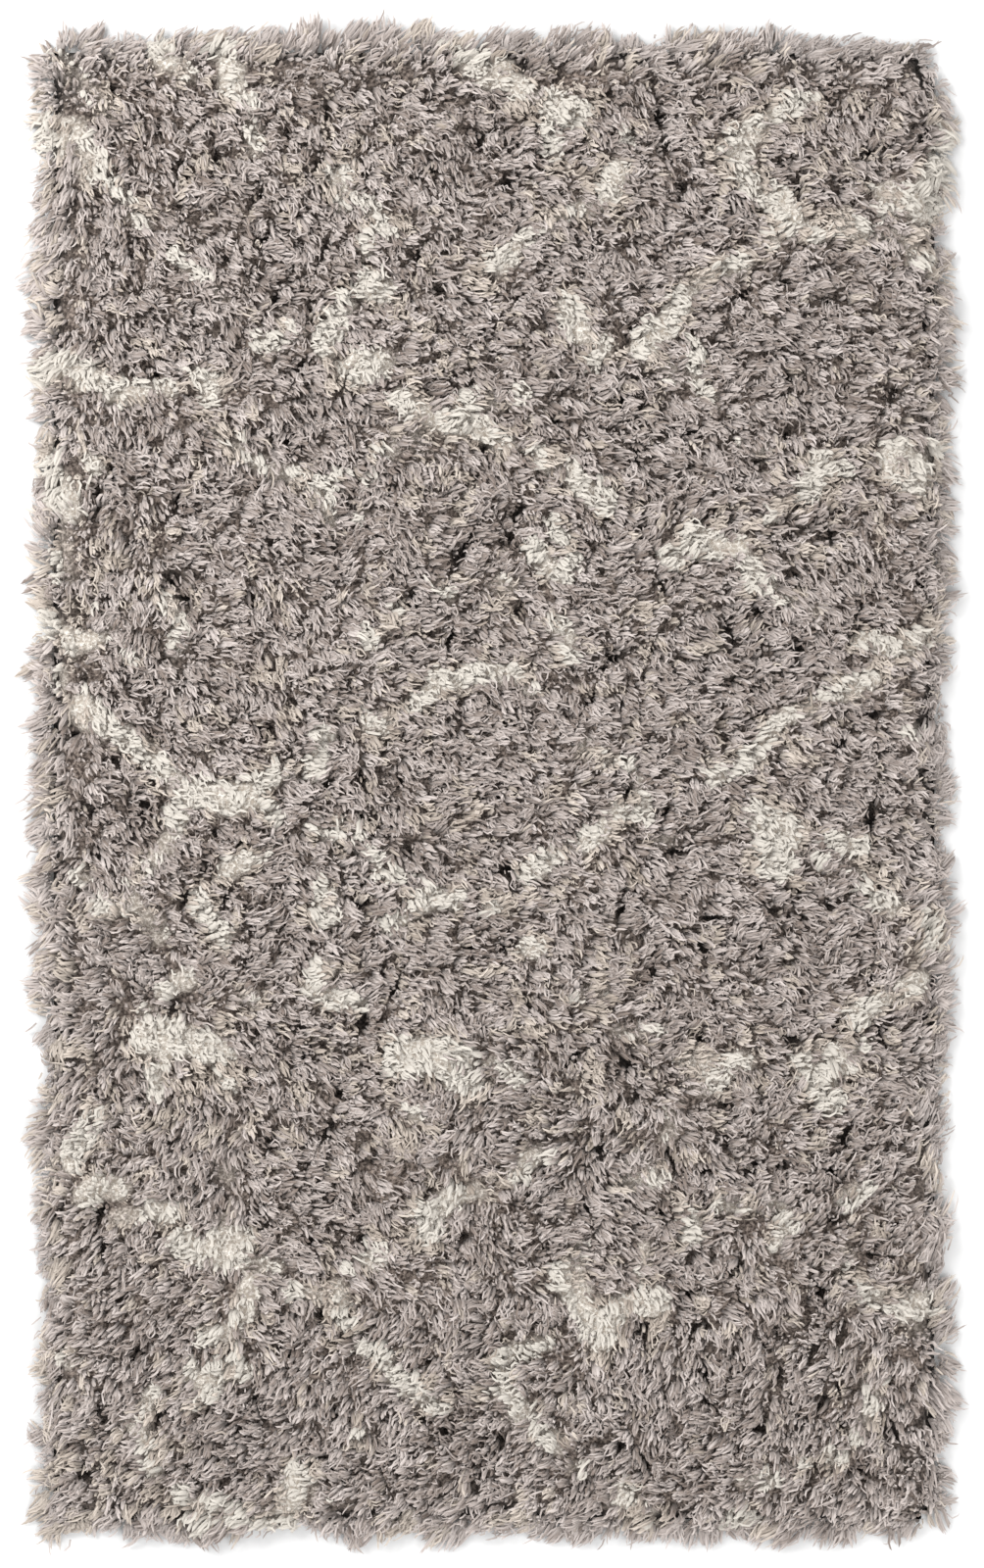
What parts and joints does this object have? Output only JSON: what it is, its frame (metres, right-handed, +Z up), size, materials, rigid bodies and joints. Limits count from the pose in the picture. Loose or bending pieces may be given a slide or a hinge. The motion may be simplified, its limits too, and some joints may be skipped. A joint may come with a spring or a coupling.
{
  "type": "shag rug",
  "caption": "Rectangular deep-pile shag rug lying flat, with loose mauve-grey tufts, a broken cream diamond lattice and locks that fall outwards at its rim.",
  "frame": {"origin": "on the floor under the middle of the rug's bounding box", "axes": "+Z up out of the pile, +Y along the rug's length, +X across it"},
  "size_m": [0.9786, 1.592, 0.0494],
  "materials": {
    "pile": "matt shaggy yarn, mauve grey with cream and beige tufts"
  },
  "bodies": {
    "root": {"shag_rug": "pile"}
  },
  "joints": []
}
